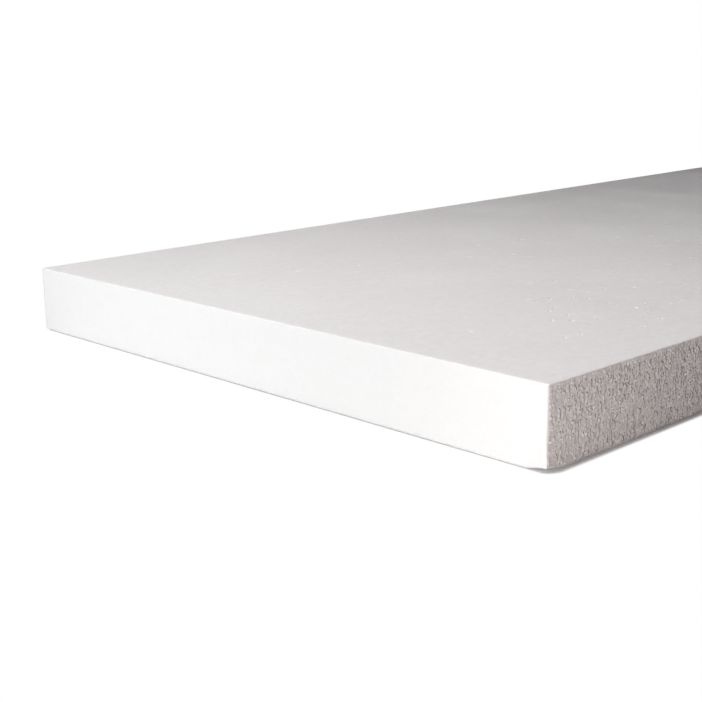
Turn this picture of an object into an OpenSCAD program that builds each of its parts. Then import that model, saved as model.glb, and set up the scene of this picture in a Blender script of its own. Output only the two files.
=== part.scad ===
// Expanded polystyrene insulation board: one block-cut slab with square butt edges.
// X runs along the length, Y across the width, Z up through the thickness.
// The origin is the centre of the bottom face.

/* [Board] */
// Length of the board, along X
board_length = 1000; // [300:10:2500]
// Width of the board, along Y
board_width = 500; // [200:10:1250]
// Thickness of the board
board_thickness = 50; // [20:1:300]

/* [Arrises] */
// Radius of the crisp cut arrises round the top face
top_arris_radius = 1; // [0.5:0.1:4]
// Radius of the arrises round the bottom face, softened where the board is set down and slid
bottom_arris_radius = 3; // [0.5:0.1:6]
// Radius of the four upright arrises where the edges meet
upright_arris_radius = 1; // [0.5:0.1:4]

/* [Hidden] */

// Facets on a full turn of an arris
$fn = 96;
// How far each extrusion runs past the faces that bound it
overrun = 1;

// What a radius takes off a square corner at the origin that faces -X -Y
module arris_waste(radius) {
    difference() {
        translate([-overrun, -overrun]) square(radius + overrun);
        translate([radius, radius]) circle(r = radius);
    }
}

// A rectangle centred on X and standing on Y = 0, with its lower and its upper corners eased
module eased_rectangle(span, height, lower_radius, upper_radius) {
    difference() {
        translate([-span / 2, 0]) square([span, height]);
        for (side = [0, 1]) mirror([side, 0]) {
            translate([-span / 2, 0]) arris_waste(lower_radius);
            translate([-span / 2, height]) mirror([0, 1]) arris_waste(upper_radius);
        }
    }
}

// The board seen from above, on Z from below the bottom face to above the top one
module plan_prism() {
    translate([0, -board_width / 2, -overrun])
        linear_extrude(board_thickness + 2 * overrun)
            eased_rectangle(board_length, board_width, upright_arris_radius, upright_arris_radius);
}

// The section across the board, run along its length
module cross_section_prism() {
    rotate([90, 0, 90])
        linear_extrude(board_length + 2 * overrun, center = true)
            eased_rectangle(board_width, board_thickness, bottom_arris_radius, top_arris_radius);
}

// The section along the board, run across its width
module long_section_prism() {
    rotate([90, 0, 0])
        linear_extrude(board_width + 2 * overrun, center = true)
            eased_rectangle(board_length, board_thickness, bottom_arris_radius, top_arris_radius);
}

// The slab is what the plan and both sections have in common, so its arrises mitre at the corners
module board() {
    color("whitesmoke")
        intersection() {
            plan_prism();
            cross_section_prism();
            long_section_prism();
        }
}

board();
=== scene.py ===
import math
import random

import bpy
from mathutils import Euler, Matrix, Vector


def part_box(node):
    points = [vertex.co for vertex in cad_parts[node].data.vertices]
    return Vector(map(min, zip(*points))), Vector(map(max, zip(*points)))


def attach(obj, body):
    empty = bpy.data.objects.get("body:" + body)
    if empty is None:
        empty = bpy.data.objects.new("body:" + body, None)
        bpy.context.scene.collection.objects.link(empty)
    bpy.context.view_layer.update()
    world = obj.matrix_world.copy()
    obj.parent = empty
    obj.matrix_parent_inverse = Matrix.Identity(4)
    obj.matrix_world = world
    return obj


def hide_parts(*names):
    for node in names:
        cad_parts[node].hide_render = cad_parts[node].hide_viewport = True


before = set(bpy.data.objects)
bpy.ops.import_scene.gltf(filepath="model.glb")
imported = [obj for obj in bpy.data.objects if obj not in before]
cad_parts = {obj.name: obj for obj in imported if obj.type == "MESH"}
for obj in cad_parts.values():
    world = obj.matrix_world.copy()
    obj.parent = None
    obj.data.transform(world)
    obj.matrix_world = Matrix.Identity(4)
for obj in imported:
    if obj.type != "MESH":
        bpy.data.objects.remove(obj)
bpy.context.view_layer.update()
mm = 0.001

boxLow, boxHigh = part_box("board")
halfLength = (boxHigh.x - boxLow.x) / 2
halfWidth = (boxHigh.y - boxLow.y) / 2
thickness = boxHigh.z - boxLow.z


# Small helpers for working on a mesh and for wiring nodes

def startClean():
    if bpy.context.mode != "OBJECT":
        bpy.ops.object.mode_set(mode="OBJECT")
    bpy.ops.object.select_all(action="DESELECT")


def workOn(obj):
    startClean()
    obj.select_set(True)
    bpy.context.view_layer.objects.active = obj


def selectVerts(obj, test):
    workOn(obj)
    mesh = obj.data
    chosen = [test(v.co) for v in mesh.vertices]
    mesh.vertices.foreach_set("select", chosen)
    mesh.edges.foreach_set("select", [chosen[e.vertices[0]] and chosen[e.vertices[1]] for e in mesh.edges])
    mesh.polygons.foreach_set("select", [all(chosen[i] for i in p.vertices) for p in mesh.polygons])
    bpy.ops.object.mode_set(mode="EDIT")
    bpy.ops.mesh.select_mode(type="VERT")


def selectFaces(obj, test):
    workOn(obj)
    mesh = obj.data
    chosen = [test(p) for p in mesh.polygons]
    mesh.vertices.foreach_set("select", [False] * len(mesh.vertices))
    mesh.edges.foreach_set("select", [False] * len(mesh.edges))
    mesh.polygons.foreach_set("select", chosen)
    bpy.context.tool_settings.mesh_select_mode = (False, False, True)
    bpy.ops.object.mode_set(mode="EDIT")


def newMaterial(name):
    material = bpy.data.materials.new(name)
    material.use_nodes = True
    nodes = material.node_tree.nodes
    nodes.clear()
    return material, nodes, material.node_tree.links


def mathNode(nodes, links, operation, first, second):
    node = nodes.new("ShaderNodeMath")
    node.operation = operation
    for socket, value in zip(node.inputs, (first, second)):
        if isinstance(value, (int, float)):
            socket.default_value = value
        else:
            links.new(value, socket)
    return node.outputs[0]


def vectorNode(nodes, links, operation, first, second=None):
    node = nodes.new("ShaderNodeVectorMath")
    node.operation = operation
    links.new(first, node.inputs[0])
    if second is not None:
        node.inputs[1].default_value = second
    return node.outputs["Value" if operation == "LENGTH" else "Vector"]


def rangeNode(nodes, links, value, low, high, toLow=0.0, toHigh=1.0, kind="LINEAR"):
    node = nodes.new("ShaderNodeMapRange")
    node.interpolation_type = kind
    node.inputs["From Min"].default_value = low
    node.inputs["From Max"].default_value = high
    node.inputs["To Min"].default_value = toLow
    node.inputs["To Max"].default_value = toHigh
    links.new(value, node.inputs["Value"])
    return node.outputs["Result"]


def noiseNode(nodes, links, where, scale, detail):
    node = nodes.new("ShaderNodeTexNoise")
    node.inputs["Scale"].default_value = scale
    node.inputs["Detail"].default_value = detail
    links.new(where, node.inputs["Vector"])
    return node.outputs["Fac"]


def colourMix(nodes, links, share, first, second):
    node = nodes.new("ShaderNodeMix")
    node.data_type = "RGBA"
    links.new(share, node.inputs["Factor"])
    for socket, value in ((node.inputs["A"], first), (node.inputs["B"], second)):
        if isinstance(value, tuple):
            socket.default_value = value + (1,)
        else:
            links.new(value, socket)
    return node.outputs["Result"]


def shaderMix(nodes, links, share, first, second):
    node = nodes.new("ShaderNodeMixShader")
    for socket, value in zip(node.inputs, (share, first, second)):
        links.new(value, socket)
    return node.outputs[0]


# Camera, where the picture was taken from: low over the near top corner

view = {
    "fromCorner": Vector((-520.4, -384.8, 180.6)) * mm,
    "yaw": 44.28,  # from +Y towards +X
    "pitch": 14.16,  # down
    "roll": 0.61,  # right side down
    "lens": 65.27,
    "sensor": 36.0,
}


def makeCamera():
    camera = bpy.data.objects.new("camera", bpy.data.cameras.new("camera"))
    bpy.context.scene.collection.objects.link(camera)
    camera.data.sensor_width = view["sensor"]
    camera.data.lens = view["lens"]
    camera.data.clip_start = 0.01
    turned = Euler((math.radians(90 - view["pitch"]), 0, math.radians(-view["yaw"]))).to_matrix()
    rolled = turned @ Matrix.Rotation(math.radians(-view["roll"]), 3, "Z")
    nearCorner = Vector((boxLow.x, boxLow.y, boxHigh.z))
    camera.location = nearCorner + view["fromCorner"]
    camera.rotation_euler = rolled.to_euler()
    bpy.context.scene.camera = camera


# Lamps: a big soft one on the left and a low one under it, a soft overhead one, and a small one that rakes
# along the near long edge

lamps = {
    "high": {"at": (-1.1, 0.05, 0.32), "aim": (-0.5, 0.0, 0.02), "size": (0.9, 0.6), "watts": 1.75,
             "colour": (0.965, 1.0, 1.0)},
    "low": {"at": (-0.95, 0.12, 0.13), "aim": (-0.5, 0.0, 0.02), "size": (0.6, 0.2), "watts": 0.8,
            "colour": (0.965, 1.0, 1.0)},
    "overhead": {"at": (-0.52, 0.06, 0.9), "aim": (-0.52, 0.06, 0.0), "size": (0.8, 0.8), "watts": 5.6,
                 "colour": (1.0, 0.96, 0.975)},
    "rake": {"at": (-0.77, -0.465, 0.1), "aim": (-0.25, -0.25, 0.03), "size": (0.16, 0.12), "watts": 0.15,
             "colour": (1.0, 0.93, 0.92), "spread": 80},
}
room = {"strength": 0.055, "colour": (1.0, 0.97, 0.97)}


def makeLamp(name):
    settings = lamps[name]
    lamp = bpy.data.objects.new(name, bpy.data.lights.new(name, "AREA"))
    bpy.context.scene.collection.objects.link(lamp)
    lamp.data.shape = "RECTANGLE"
    lamp.data.size, lamp.data.size_y = settings["size"]
    lamp.data.energy = settings["watts"]
    lamp.data.color = settings["colour"]
    lamp.data.spread = math.radians(settings.get("spread", 180))
    lamp.location = settings["at"]
    lamp.rotation_euler = (Vector(settings["aim"]) - lamp.location).to_track_quat("-Z", "Y").to_euler()


def seenDirectly(nodes, links):
    # Rays that come from the camera, by way of a glossy or a clear surface too
    path = nodes.new("ShaderNodeLightPath").outputs
    either = mathNode(nodes, links, "MAXIMUM", path["Is Camera Ray"], path["Is Glossy Ray"])
    return mathNode(nodes, links, "MAXIMUM", either, path["Is Transmission Ray"])


def makeRoom():
    world = bpy.data.worlds.new("room")
    world.use_nodes = True
    bpy.context.scene.world = world
    nodes, links = world.node_tree.nodes, world.node_tree.links
    nodes.clear()
    lit = nodes.new("ShaderNodeBackground")
    lit.inputs["Color"].default_value = room["colour"] + (1,)
    lit.inputs["Strength"].default_value = room["strength"]
    seen = nodes.new("ShaderNodeBackground")
    seen.inputs["Color"].default_value = (1, 1, 1, 1)
    seen.inputs["Strength"].default_value = 1.0
    mixed = shaderMix(nodes, links, seenDirectly(nodes, links), lit.outputs[0], seen.outputs[0])
    out = nodes.new("ShaderNodeOutputWorld")
    links.new(mixed, out.inputs["Surface"])


# Floor: white as the room is, apart from the shade close round the slab

floor = {
    "size": 8.0,
    "drop": 0.0001,  # under the slab
    "colour": 0.85,
    "shadeReach": 0.0034,  # how far out from the slab it turns white
    "leastWhite": 0.07,  # how much of the room's white reaches in under the arris
    "shadeRound": 0.012,  # corner radius of the shade
    "litReach": 0.0014,  # the shade is narrower before the lit end
}


def makeFloor():
    startClean()
    bpy.ops.mesh.primitive_plane_add(size=floor["size"], location=(0, 0, -floor["drop"]))
    plane = bpy.context.object
    plane.name = "floor"
    bpy.ops.object.transform_apply(location=True, rotation=True, scale=True)
    material, nodes, links = newMaterial("paleFloor")
    coords = nodes.new("ShaderNodeTexCoord").outputs["Object"]
    around = floor["shadeRound"]
    folded = vectorNode(nodes, links, "ABSOLUTE", coords)
    beyond = vectorNode(nodes, links, "SUBTRACT", folded, (halfLength - around, halfWidth - around, 0))
    outside = vectorNode(nodes, links, "MAXIMUM", beyond, (0, 0, 0))
    away = vectorNode(nodes, links, "LENGTH", outside)
    whiteFrom = around + floor["shadeReach"]
    plain = rangeNode(nodes, links, away, around, whiteFrom, floor["leastWhite"], 1.0, "SMOOTHSTEP")
    place = nodes.new("ShaderNodeSeparateXYZ")
    links.new(coords, place.inputs[0])
    litFrom = -halfLength + floor["litReach"]
    beforeEnd = rangeNode(nodes, links, place.outputs["X"], litFrom, -halfLength, 0.0, 1.0, "SMOOTHSTEP")
    clear = mathNode(nodes, links, "MAXIMUM", plain, beforeEnd)
    whiteShare = mathNode(nodes, links, "MULTIPLY", clear, seenDirectly(nodes, links))
    lit = nodes.new("ShaderNodeBsdfDiffuse")
    lit.inputs["Color"].default_value = (floor["colour"],) * 3 + (1,)
    white = nodes.new("ShaderNodeEmission")
    out = nodes.new("ShaderNodeOutputMaterial")
    links.new(shaderMix(nodes, links, whiteShare, lit.outputs[0], white.outputs[0]), out.inputs["Surface"])
    plane.data.materials.append(material)


# The slab. Each of its four edges is a field of cut beads: a net of points, one for each bead, is turned
# inside out into cells, and the middle of each cell is poked up out of the grooves round it.

slab = {
    "name": "foamSlab",
    "stray": 0.45,  # how far a bead may lie from its place in the net, in net spacings
    "swallowed": 0.28,  # share of the beads that their neighbours close over
    "cornerStray": 0.3 * mm,  # how far the corners of a cell may wander
    "shortestSide": 0.95 * mm,  # cell sides shorter than this close up
    "shortestCut": 0.5 * mm,  # and so do those that the panel's border leaves shorter than this
    "smallestBead": 0.6 * mm,  # a cell with less room than this stays an open gap
    "gapArea": 1.2 * mm * mm,  # open gaps larger than this dip in the middle
    "gapDip": 0.6,  # by this share of the groove depth
    "sunk": 0.06,  # share of the beads that are torn out
    "topRound": 0.6 * mm,
    "bottomRound": 1.9 * mm,
    "uprightRound": 0.35 * mm,
    "roundSteps": {"top": 3, "bottom": 5},
    "rimStray": 0.12 * mm,  # how far the arrises wander
    "flatRing": 3.0 * mm,  # width of the plain ring round each large face
    # the near bottom corner is knocked in
    "worn": {"pick": 4.0 * mm, "reach": 14.0 * mm, "push": (1.0 * mm, 1.0 * mm, 1.9 * mm)},
    "crispAngle": 26,  # degrees
    # how deep the grooves lie under the cut face, and how high the beads stand over them
    "longEdge": {"pitch": 2.3 * mm, "grooves": 0.9 * mm, "rise": 0.55 * mm, "uneven": 0.3 * mm},
    "shortEdge": {"pitch": 2.6 * mm, "grooves": 0.2 * mm, "rise": 0.09 * mm, "uneven": 0.04 * mm},
    # the large faces are cut smooth, with a pit here and there where a bead was plucked out
    "net": 17.0 * mm,
    "netMargin": 0.85,  # share of the plain ring that the net keeps clear of
    "pitted": 0.07,  # share of the squares of the net that hold a pit
    # patches that were rubbed and hold more pits: x, y, how far they reach, share of the squares
    "rubbed": ((-0.28, -0.18, 0.13, 0.65), (-0.06, -0.03, 0.12, 0.3), (0.3, 0.14, 0.11, 0.4)),
    "pitSlip": 0.32,  # how far a pit may lie from the middle of its square, in squares
    "pitSize": (1.6 * mm, 3.4 * mm),
    "pitFloor": (0.35, 0.55),  # how much of a pit is floor
    "pitSlope": (0.5, 0.8),  # how steep its sides are
    "pitCorners": 30,  # percent of each side that its cut corners take
    "pitStray": 0.15 * mm,  # how far its rim wanders
}


def newGroup(name):
    group = bpy.data.node_groups.new(name, "GeometryNodeTree")
    group.interface.new_socket("Geometry", in_out="INPUT", socket_type="NodeSocketGeometry")
    group.interface.new_socket("Geometry", in_out="OUTPUT", socket_type="NodeSocketGeometry")
    return group, group.nodes.new("NodeGroupInput"), group.nodes.new("NodeGroupOutput")


def cellGroup():
    # Turns the net inside out: each point becomes a cell
    group, source, result = newGroup("beadCells")
    cells = group.nodes.new("GeometryNodeDualMesh")
    group.links.new(source.outputs[0], cells.inputs[0])
    group.links.new(cells.outputs[0], result.inputs[0])
    return group


def raiseGroup():
    # Extrudes each face along its lift and narrows it to its crown, a share of its width
    group, source, result = newGroup("raisedBeads")
    lift = group.nodes.new("GeometryNodeInputNamedAttribute")
    lift.data_type = "FLOAT_VECTOR"
    lift.inputs["Name"].default_value = "beadLift"
    crown = group.nodes.new("GeometryNodeInputNamedAttribute")
    crown.data_type = "FLOAT"
    crown.inputs["Name"].default_value = "beadCrown"
    isBead = group.nodes.new("FunctionNodeCompare")
    isBead.operation = "GREATER_THAN"
    isBead.inputs["B"].default_value = 0.0
    raised = group.nodes.new("GeometryNodeExtrudeMesh")
    raised.mode = "FACES"
    raised.inputs["Individual"].default_value = True
    raised.inputs["Offset Scale"].default_value = 1.0
    narrowed = group.nodes.new("GeometryNodeScaleElements")
    narrowed.domain = "FACE"
    group.links.new(source.outputs[0], raised.inputs["Mesh"])
    group.links.new(crown.outputs["Attribute"], isBead.inputs["A"])
    group.links.new(isBead.outputs[0], raised.inputs["Selection"])
    group.links.new(lift.outputs["Attribute"], raised.inputs["Offset"])
    group.links.new(raised.outputs["Mesh"], narrowed.inputs["Geometry"])
    group.links.new(raised.outputs["Top"], narrowed.inputs["Selection"])
    group.links.new(crown.outputs["Attribute"], narrowed.inputs["Scale"])
    group.links.new(narrowed.outputs[0], result.inputs[0])
    return group


def roominess(polygon, mesh):
    corners = [mesh.vertices[i].co for i in polygon.vertices]
    around = sum((corners[i] - corners[i - 1]).length for i in range(len(corners)))
    return 2 * polygon.area / around


def cutAt(place, outward):
    bpy.ops.mesh.select_all(action="SELECT")
    bpy.ops.mesh.bisect(plane_co=place, plane_no=outward, clear_outer=True)


def applyGroup(obj, group):
    modifier = obj.modifiers.new(group.name, "NODES")
    modifier.node_group = group
    bpy.ops.object.modifier_apply(modifier=modifier.name)


def setLifts(mesh, liftOf):
    lifts = []
    crowns = []
    for polygon in mesh.polygons:
        lift, crown = liftOf(polygon)
        lifts.extend(lift)
        crowns.append(crown)
    for name, kind in (("beadLift", "FLOAT_VECTOR"), ("beadCrown", "FLOAT")):
        if name in mesh.attributes:
            mesh.attributes.remove(mesh.attributes[name])
        mesh.attributes.new(name, kind, "FACE")
    mesh.attributes["beadLift"].data.foreach_set("vector", lifts)
    mesh.attributes["beadCrown"].data.foreach_set("value", crowns)


def dropLifts(mesh):
    for name in ("beadLift", "beadCrown"):
        mesh.attributes.remove(mesh.attributes[name])


def beadPanel(name, length, height, edge, groups, seed):
    chance = random.Random(seed)
    pitch = edge["pitch"]
    columns = math.ceil(length / pitch) + 4
    rows = math.ceil(height / pitch) + 4
    startClean()
    bpy.ops.mesh.primitive_grid_add(x_subdivisions=columns, y_subdivisions=rows, size=1)
    panel = bpy.context.object
    panel.name = name
    bpy.ops.object.mode_set(mode="EDIT")
    bpy.ops.transform.resize(value=(columns * pitch, rows * pitch, 1))
    bpy.ops.mesh.quads_convert_to_tris(quad_method="BEAUTY", ngon_method="BEAUTY")
    bpy.ops.transform.vertex_random(offset=slab["stray"] * pitch, uniform=0.0, normal=0.0, seed=seed)
    bpy.ops.transform.resize(value=(1, 1, 0), center_override=(0, 0, 0))
    selectVerts(panel, lambda co: chance.random() < slab["swallowed"])
    bpy.ops.mesh.dissolve_verts()
    bpy.ops.mesh.select_all(action="SELECT")
    bpy.ops.mesh.quads_convert_to_tris(quad_method="BEAUTY", ngon_method="BEAUTY")
    bpy.ops.mesh.beautify_fill(angle_limit=math.pi)
    bpy.ops.object.mode_set(mode="OBJECT")
    applyGroup(panel, groups["cells"])
    bpy.ops.object.mode_set(mode="EDIT")
    bpy.ops.mesh.select_all(action="SELECT")
    bpy.ops.transform.vertex_random(offset=slab["cornerStray"], uniform=0.0, normal=0.0, seed=seed + 50)
    bpy.ops.transform.resize(value=(1, 1, 0), center_override=(0, 0, 0))
    bpy.ops.mesh.remove_doubles(threshold=slab["shortestSide"])
    borders = [(length / 2, 0, 0), (-length / 2, 0, 0), (0, height / 2, 0), (0, -height / 2, 0)]
    for border in borders:
        cutAt(border, Vector(border).normalized())
    bpy.ops.mesh.select_all(action="SELECT")
    bpy.ops.mesh.remove_doubles(threshold=slab["shortestCut"])
    for border in borders:
        outward = Vector(border).normalized()
        reach = Vector(border).length - 1.1 * slab["shortestCut"]
        selectVerts(panel, lambda co: co.dot(outward) > reach)
        flat = tuple(1 - abs(part) for part in outward)
        bpy.ops.transform.resize(value=flat, center_override=border)
    bpy.ops.object.mode_set(mode="OBJECT")

    mesh = panel.data
    tones = mesh.attributes.new("beadTone", "FLOAT", "FACE")
    tones.data.foreach_set("value", [0.1 + 0.9 * chance.random() for polygon in mesh.polygons])
    room = [roominess(polygon, mesh) for polygon in mesh.polygons]
    torn = [chance.random() < slab["sunk"] for polygon in mesh.polygons]
    selectFaces(panel, lambda p: room[p.index] > slab["smallestBead"] and not torn[p.index])
    bpy.ops.mesh.poke(offset=edge["rise"], use_relative_offset=False, center_mode="MEDIAN_WEIGHTED")
    bpy.ops.object.mode_set(mode="OBJECT")
    selectVerts(panel, lambda co: co.z > 0.05 * mm)
    bpy.ops.transform.vertex_random(offset=edge["uneven"], uniform=0.0, normal=0.0, seed=seed + 7)
    bpy.ops.object.mode_set(mode="OBJECT")
    selectFaces(panel, lambda p: len(p.vertices) > 3 and p.area > slab["gapArea"])
    dip = -slab["gapDip"] * edge["grooves"]
    bpy.ops.mesh.poke(offset=dip, use_relative_offset=False, center_mode="MEDIAN_WEIGHTED")
    bpy.ops.object.mode_set(mode="OBJECT")
    return panel


def standPanel(panel, turn, place):
    workOn(panel)
    panel.rotation_euler = (math.radians(90), 0, math.radians(turn))
    panel.location = place
    bpy.ops.object.transform_apply(location=True, rotation=True, scale=True)


def openEdges(mesh):
    uses = {}
    for polygon in mesh.polygons:
        for key in polygon.edge_keys:
            uses[key] = uses.get(key, 0) + 1
    return {key for key, count in uses.items() if count == 1}


def selectOpenEdges(obj, test):
    workOn(obj)
    mesh = obj.data
    points = [v.co for v in mesh.vertices]
    wanted = {key for key in openEdges(mesh) if test(points[key[0]], points[key[1]])}
    touched = {index for key in wanted for index in key}
    mesh.vertices.foreach_set("select", [v.index in touched for v in mesh.vertices])
    mesh.edges.foreach_set("select", [tuple(sorted(e.vertices)) in wanted for e in mesh.edges])
    mesh.polygons.foreach_set("select", [False] * len(mesh.polygons))
    bpy.context.tool_settings.mesh_select_mode = (False, True, False)
    bpy.ops.object.mode_set(mode="EDIT")


def closeCorner(board, sideX, sideY):
    reach = slab["longEdge"]["grooves"] + slab["uprightRound"] + 0.2 * mm

    def upright(a, b):
        nearX = min(a.x * sideX, b.x * sideX) > halfLength - reach
        nearY = min(a.y * sideY, b.y * sideY) > halfWidth - reach
        plumb = math.hypot(a.x - b.x, a.y - b.y) < 0.01 * mm
        return nearX and nearY and plumb

    selectOpenEdges(board, upright)
    bpy.ops.mesh.bridge_edge_loops(type="SINGLE")


def rollRim(board, towards, radius, steps):
    # The open rim at the top or bottom is carried round its arris in steps, then filled
    rimZ = thickness - slab["topRound"] if towards > 0 else slab["bottomRound"]
    selectOpenEdges(board, lambda a, b: abs(a.z - rimZ) < 0.05 * mm and abs(b.z - rimZ) < 0.05 * mm)
    shortFloor = slab["shortEdge"]["grooves"]
    longFloor = slab["longEdge"]["grooves"]
    inset = 0.0
    height = 0.0
    angles = [math.radians(90 * step / steps) for step in range(1, steps + 1)]
    profile = [(radius * (1 - math.cos(a)), radius * math.sin(a)) for a in angles]
    profile.append((profile[-1][0] + slab["flatRing"], radius))
    for step, (newInset, newHeight) in enumerate(profile):
        bpy.ops.mesh.extrude_region_move(
            TRANSFORM_OT_translate={"value": (0, 0, towards * (newHeight - height))})
        shrinkX = (halfLength - shortFloor - newInset) / (halfLength - shortFloor - inset)
        shrinkY = (halfWidth - longFloor - newInset) / (halfWidth - longFloor - inset)
        bpy.ops.transform.resize(value=(shrinkX, shrinkY, 1), center_override=(0, 0, 0))
        if step < steps - 1:
            bpy.ops.transform.vertex_random(offset=slab["rimStray"], uniform=0.0, normal=0.0, seed=step + 5)
        level = rimZ + towards * newHeight
        bpy.ops.transform.resize(value=(1, 1, 0), center_override=(0, 0, level))
        inset, height = newInset, newHeight
    bpy.ops.mesh.edge_face_add()
    bpy.ops.object.mode_set(mode="OBJECT")


def clearTone(board, test):
    # The cut faces and the top arris carry no tone of single beads
    tones = board.data.attributes["beadTone"].data
    for polygon in board.data.polygons:
        if test(polygon.center.z):
            tones[polygon.index].value = 0.0


def pitFace(board, towards, groups, seed):
    # The large face is taken off, netted, pitted and put back
    chance = random.Random(seed)
    level, radius = (thickness, slab["topRound"]) if towards > 0 else (0.0, slab["bottomRound"])

    def onFace(polygon):
        return abs(polygon.center.z - level) < 0.01 * mm and abs(polygon.normal.z) > 0.99

    selectFaces(board, onFace)
    bpy.ops.mesh.separate(type="SELECTED")
    bpy.ops.object.mode_set(mode="OBJECT")
    lid = [obj for obj in bpy.context.selected_objects if obj is not board][0]
    reachX = halfLength - slab["shortEdge"]["grooves"] - radius - slab["netMargin"] * slab["flatRing"]
    reachY = halfWidth - slab["longEdge"]["grooves"] - radius - slab["netMargin"] * slab["flatRing"]
    for half, axis in ((halfLength, Vector((1, 0, 0))), (halfWidth, Vector((0, 1, 0)))):
        count = round(2 * half / slab["net"])
        for line in range(1, count):
            selectFaces(lid, lambda p: abs(p.center.x) < reachX and abs(p.center.y) < reachY)
            bpy.ops.mesh.bisect(plane_co=axis * (2 * half * line / count - half), plane_no=axis)
    bpy.ops.object.mode_set(mode="OBJECT")
    reach = slab["pitSlip"] * slab["net"]

    def firstPlace(polygon):
        inNet = len(polygon.vertices) == 4 and polygon.area > (0.9 * slab["net"]) ** 2
        pitted = slab["pitted"]
        for x, y, patch, share in slab["rubbed"]:
            away = math.hypot(polygon.center.x - x, towards * polygon.center.y - y) / patch
            pitted = max(pitted, share * (1 - away * away))
        if not inNet or chance.random() > pitted:
            return (0.0, 0.0, 0.0), 0.0
        slip = (chance.uniform(-reach, reach), chance.uniform(-reach, reach), 0.0)
        return slip, chance.uniform(*slab["pitSize"]) / slab["net"]

    setLifts(lid.data, firstPlace)
    applyGroup(lid, groups["raised"])
    largest = (1.1 * slab["pitSize"][1]) ** 2
    selectFaces(lid, lambda p: p.area < largest and abs(p.center.x) < reachX and abs(p.center.y) < reachY)
    bpy.ops.mesh.bevel(offset_type="PERCENT", offset_pct=slab["pitCorners"], affect="VERTICES", segments=1)
    bpy.ops.transform.vertex_random(offset=slab["pitStray"], uniform=0.0, normal=0.0, seed=seed)
    bpy.ops.transform.resize(value=(1, 1, 0), center_override=(0, 0, level))
    bpy.ops.object.mode_set(mode="OBJECT")

    def sink(polygon):
        inside = abs(polygon.center.x) < reachX and abs(polygon.center.y) < reachY
        if polygon.area > largest or not inside:
            return (0.0, 0.0, 0.0), 0.0
        flat = chance.uniform(*slab["pitFloor"])
        side = (1 - flat) * math.sqrt(polygon.area / math.pi)
        return (0.0, 0.0, -towards * side * chance.uniform(*slab["pitSlope"])), flat

    setLifts(lid.data, sink)
    applyGroup(lid, groups["raised"])
    dropLifts(lid.data)
    print("slab: pits in the face at", round(level, 3), "-", len(lid.data.polygons), "faces")
    workOn(board)
    lid.select_set(True)
    bpy.ops.object.join()
    bpy.ops.object.mode_set(mode="EDIT")
    bpy.ops.mesh.select_all(action="SELECT")
    bpy.ops.mesh.remove_doubles(threshold=0.002 * mm)
    bpy.ops.object.mode_set(mode="OBJECT")


def wearCorner(board):
    corner = Vector((boxLow.x, boxLow.y, 0))
    worn = slab["worn"]
    selectVerts(board, lambda co: (co - corner).length < worn["pick"])
    bpy.ops.transform.translate(value=worn["push"], use_proportional_edit=True,
                                proportional_edit_falloff="SMOOTH", proportional_size=worn["reach"])
    bpy.ops.object.mode_set(mode="OBJECT")


def makeSlab():
    groups = {"cells": cellGroup(), "raised": raiseGroup()}
    longEdge, shortEdge = slab["longEdge"], slab["shortEdge"]
    panelHeight = thickness - slab["topRound"] - slab["bottomRound"]
    middleZ = slab["bottomRound"] + panelHeight / 2
    endX = halfLength - shortEdge["grooves"]
    sideY = halfWidth - longEdge["grooves"]
    along = 2 * (endX - slab["uprightRound"])
    across = 2 * (sideY - slab["uprightRound"])
    sides = (
        ("front", along, longEdge, 11, 0, (0, -sideY, middleZ)),
        ("back", along, longEdge, 23, 180, (0, sideY, middleZ)),
        ("left", across, shortEdge, 37, -90, (-endX, 0, middleZ)),
        ("right", across, shortEdge, 41, 90, (endX, 0, middleZ)),
    )
    panels = []
    for name, length, edge, seed, turn, place in sides:
        panel = beadPanel(name, length, panelHeight, edge, groups, seed)
        standPanel(panel, turn, place)
        panels.append(panel)
    print("slab: four edges of beads")
    workOn(panels[0])
    for panel in panels[1:]:
        panel.select_set(True)
    bpy.ops.object.join()
    board = bpy.context.object
    board.name = slab["name"]
    board.data.name = slab["name"]
    for sideX in (-1, 1):
        for sideY in (-1, 1):
            closeCorner(board, sideX, sideY)
    print("slab: corners closed,", len(board.data.polygons), "faces")
    rollRim(board, 1, slab["topRound"], slab["roundSteps"]["top"])
    rollRim(board, -1, slab["bottomRound"], slab["roundSteps"]["bottom"])
    clearTone(board, lambda z: z > thickness - slab["topRound"] + 0.02 * mm or z < 0.01 * mm)
    print("slab: rims rolled,", len(board.data.polygons), "faces, open edges", len(openEdges(board.data)))
    pitFace(board, 1, groups, 61)
    pitFace(board, -1, groups, 73)
    wearCorner(board)
    workOn(board)
    bpy.ops.object.mode_set(mode="EDIT")
    bpy.ops.mesh.select_all(action="SELECT")
    bpy.ops.mesh.dissolve_degenerate(threshold=0.02 * mm)
    bpy.ops.mesh.normals_make_consistent(inside=False)
    bpy.ops.object.mode_set(mode="OBJECT")
    bpy.ops.object.shade_smooth_by_angle(angle=math.radians(slab["crispAngle"]))
    return board


# The foam: white beads, each a tone of its own, with a little dust and painted shade darkening the grooves
# between them

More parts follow.
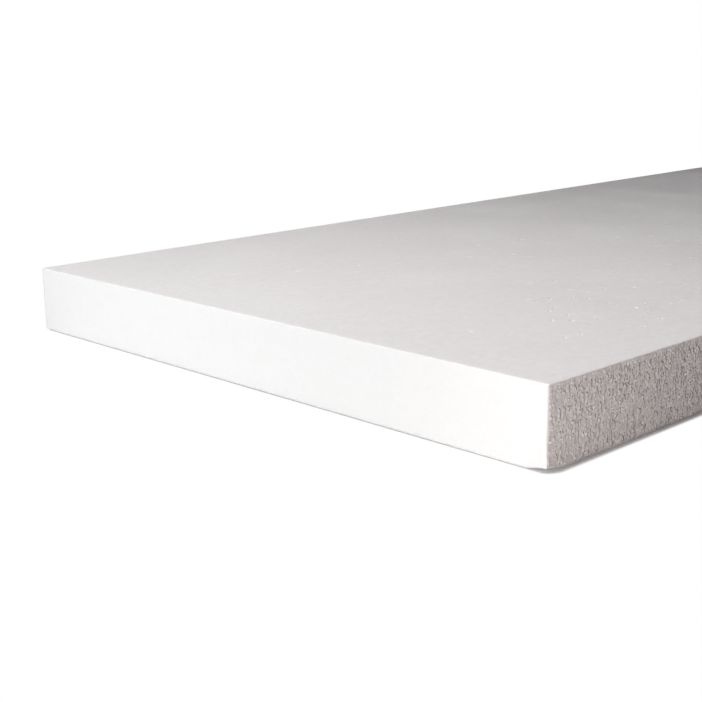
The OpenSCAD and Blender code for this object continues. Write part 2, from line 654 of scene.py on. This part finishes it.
foam = {
    "colour": (0.935, 0.93, 0.925),
    "longEdgeShadeTint": (0.935, 0.895, 0.875),  # the long edges, a painted warm tint of shade, a little darker
    "dullest": (0.87, 0.84, 0.825),  # the dullest beads
    "grooveDustAndShade": (0.74, 0.69, 0.665),  # dust and painted shade down in the grooves
    "recessDustAndShade": (0.72, 0.68, 0.665),  # dust and painted shade between the nubs of the long edges
    "roughness": (0.6, 0.85),
    "patches": 14.0,  # how often the roughness changes in a metre
    "specular": 0.3,
    "bead": 3.4 * mm,
    "cutRelief": 0.03 * mm,  # how far the beads stand out on the smooth cut faces
    "cutShade": 0.45,  # and how much of the dull colour the dullest of them take
    "pores": 2.0 * mm,  # size of the broken pores, across
    "poreStretch": 0.6,  # and how much they are drawn out up the edge
    "poreRelief": 0.82 * mm,
    "nubs": (0.5, 0.68),  # noise values at which a nub between the pores begins and is full
    "paler": 0.15,  # the short edges show this share of the beads' own tones
    "endDustAndShade": 0.05,  # and this share of the dust and painted shade in the grooves
    "shortEdgeShare": 0.04,  # the short edges are cut cleaner, and show this share of it
    # the relief is calmer under the top and beside the upright arrises: from, to, least share
    "calmTop": (1.0 * mm, 5.0 * mm, 0.35),
    "calmCorner": (1.0 * mm, 9.0 * mm, 0.3),
    "rougher": (15.0 * mm, 110.0 * mm, 0.9, 1.5),  # and grows along the long edges: from, to, least, most
    "grain": 0.5 * mm,  # all over
    "grainRelief": 0.05 * mm,
}


def foamMaterial():
    material, nodes, links = newMaterial("expandedPolystyrene")
    coords = nodes.new("ShaderNodeTexCoord").outputs["Object"]

    def product(first, *others):
        for other in others:
            first = mathNode(nodes, links, "MULTIPLY", first, other)
        return first

    def remainder(value):
        return mathNode(nodes, links, "SUBTRACT", 1.0, value)

    def ramp(value, low, high, toLow=0.0, toHigh=1.0):
        return rangeNode(nodes, links, value, low, high, toLow, toHigh)

    def beadCells():
        node = nodes.new("ShaderNodeTexVoronoi")
        node.inputs["Scale"].default_value = 1 / foam["bead"]
        links.new(coords, node.inputs["Vector"])
        return node

    # The cells of the four edges have a tone each, the cut faces have none
    tone = nodes.new("ShaderNodeAttribute")
    tone.attribute_name = "beadTone"
    onEdge = ramp(tone.outputs["Fac"], 0.0, 0.1)
    onCut = remainder(onEdge)

    # How deep a point lies under the cut edges
    parts = nodes.new("ShaderNodeSeparateXYZ")
    links.new(vectorNode(nodes, links, "ABSOLUTE", coords), parts.inputs[0])
    fromEnd = mathNode(nodes, links, "SUBTRACT", halfLength, parts.outputs["X"])
    fromSide = mathNode(nodes, links, "SUBTRACT", halfWidth, parts.outputs["Y"])
    inSide = ramp(fromSide, 0.7 * mm, slab["longEdge"]["grooves"])
    inEnd = ramp(fromEnd, 0.15 * mm, slab["shortEdge"]["grooves"], 0.0, foam["endDustAndShade"])
    nearSide = ramp(fromSide, 2.0 * mm, 1.8 * mm)  # the outermost 2 mm belong to the long edges
    nearEnd = ramp(fromEnd, 1.0 * mm, 0.9 * mm)  # and the outermost 1 mm to the short ones
    depth = mathNode(nodes, links, "MAXIMUM", product(inSide, nearSide), product(inEnd, nearEnd))
    grooved = product(depth, onEdge)

    # Beads on the smooth cut faces show as faint cells
    cells = beadCells()
    cells.feature = "DISTANCE_TO_EDGE"
    rims = ramp(cells.outputs["Distance"], 0.0, 0.12)
    cellShade = nodes.new("ShaderNodeSeparateColor")
    links.new(beadCells().outputs["Color"], cellShade.inputs[0])

    drawn = nodes.new("ShaderNodeMapping")
    drawn.inputs["Scale"].default_value = (1.0, 1.0, foam["poreStretch"])
    links.new(coords, drawn.inputs["Vector"])
    pores = noiseNode(nodes, links, drawn.outputs[0], 1 / foam["pores"], 0.5)
    grain = noiseNode(nodes, links, coords, 1 / foam["grain"], 2.0)
    patches = noiseNode(nodes, links, coords, foam["patches"], 3.0)

    # Colour
    nubs = ramp(pores, *foam["nubs"])
    onSide = product(nearSide, onEdge)
    between = product(onSide, remainder(nubs))
    unlike = ramp(nearSide, 0.0, 1.0, foam["paler"], 1.0)
    beadShade = product(onEdge, unlike, remainder(tone.outputs["Fac"]))
    cutShade = product(cellShade.outputs[0], foam["cutShade"], onCut)
    dull = mathNode(nodes, links, "ADD", beadShade, cutShade)
    # Painted shade tint: the long edges take a warmer, slightly darker colour
    shadeTintedColour = colourMix(nodes, links, onSide, foam["colour"], foam["longEdgeShadeTint"])
    # Dust and painted shade: the ground between the nubs of the long edges is darkened, so the nubs stand
    # out bright
    nubColour = colourMix(nodes, links, between, shadeTintedColour, foam["recessDustAndShade"])
    beadColour = colourMix(nodes, links, dull, nubColour, foam["dullest"])
    # Dust and painted shade: the grooves are darkened towards the dark colour by their depth
    surface = colourMix(nodes, links, grooved, beadColour, foam["grooveDustAndShade"])

    # Relief in metres
    fullRelief = foam["poreRelief"]
    side = ramp(nearSide, 0.0, 1.0, foam["shortEdgeShare"] * fullRelief, fullRelief)
    topFrom, topTo, topLeast = foam["calmTop"]
    belowTop = ramp(parts.outputs["Z"], thickness - topFrom, thickness - topTo, topLeast, 1.0)
    cornerFrom, cornerTo, cornerLeast = foam["calmCorner"]
    pastCorner = ramp(fromEnd, cornerFrom, cornerTo, cornerLeast, 1.0)
    rougher = ramp(fromEnd, *foam["rougher"])
    poreShare = product(onEdge, side, product(belowTop, pastCorner, rougher))
    poreHeight = product(nubs, poreShare)
    rimHeight = product(rims, product(onCut, foam["cutRelief"]))
    grainHeight = product(grain, foam["grainRelief"])
    relief = mathNode(nodes, links, "ADD", poreHeight, rimHeight)
    height = mathNode(nodes, links, "ADD", relief, grainHeight)
    bump = nodes.new("ShaderNodeBump")
    bump.inputs["Strength"].default_value = 1.0
    bump.inputs["Distance"].default_value = 1.0
    links.new(height, bump.inputs["Height"])

    shader = nodes.new("ShaderNodeBsdfPrincipled")
    out = nodes.new("ShaderNodeOutputMaterial")
    links.new(surface, shader.inputs["Base Color"])
    links.new(ramp(patches, 0.3, 0.7, *foam["roughness"]), shader.inputs["Roughness"])
    shader.inputs["Specular IOR Level"].default_value = foam["specular"]
    links.new(bump.outputs["Normal"], shader.inputs["Normal"])
    links.new(shader.outputs[0], out.inputs["Surface"])
    return material


makeCamera()
print("camera placed")
for name in lamps:
    makeLamp(name)
makeRoom()
makeFloor()
print("lamps, room and floor made")
board = makeSlab()
board.data.materials.clear()
board.data.materials.append(foamMaterial())
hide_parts("board")
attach(board, "root")
print("slab dressed")

bpy.context.scene.view_settings.view_transform = "Standard"
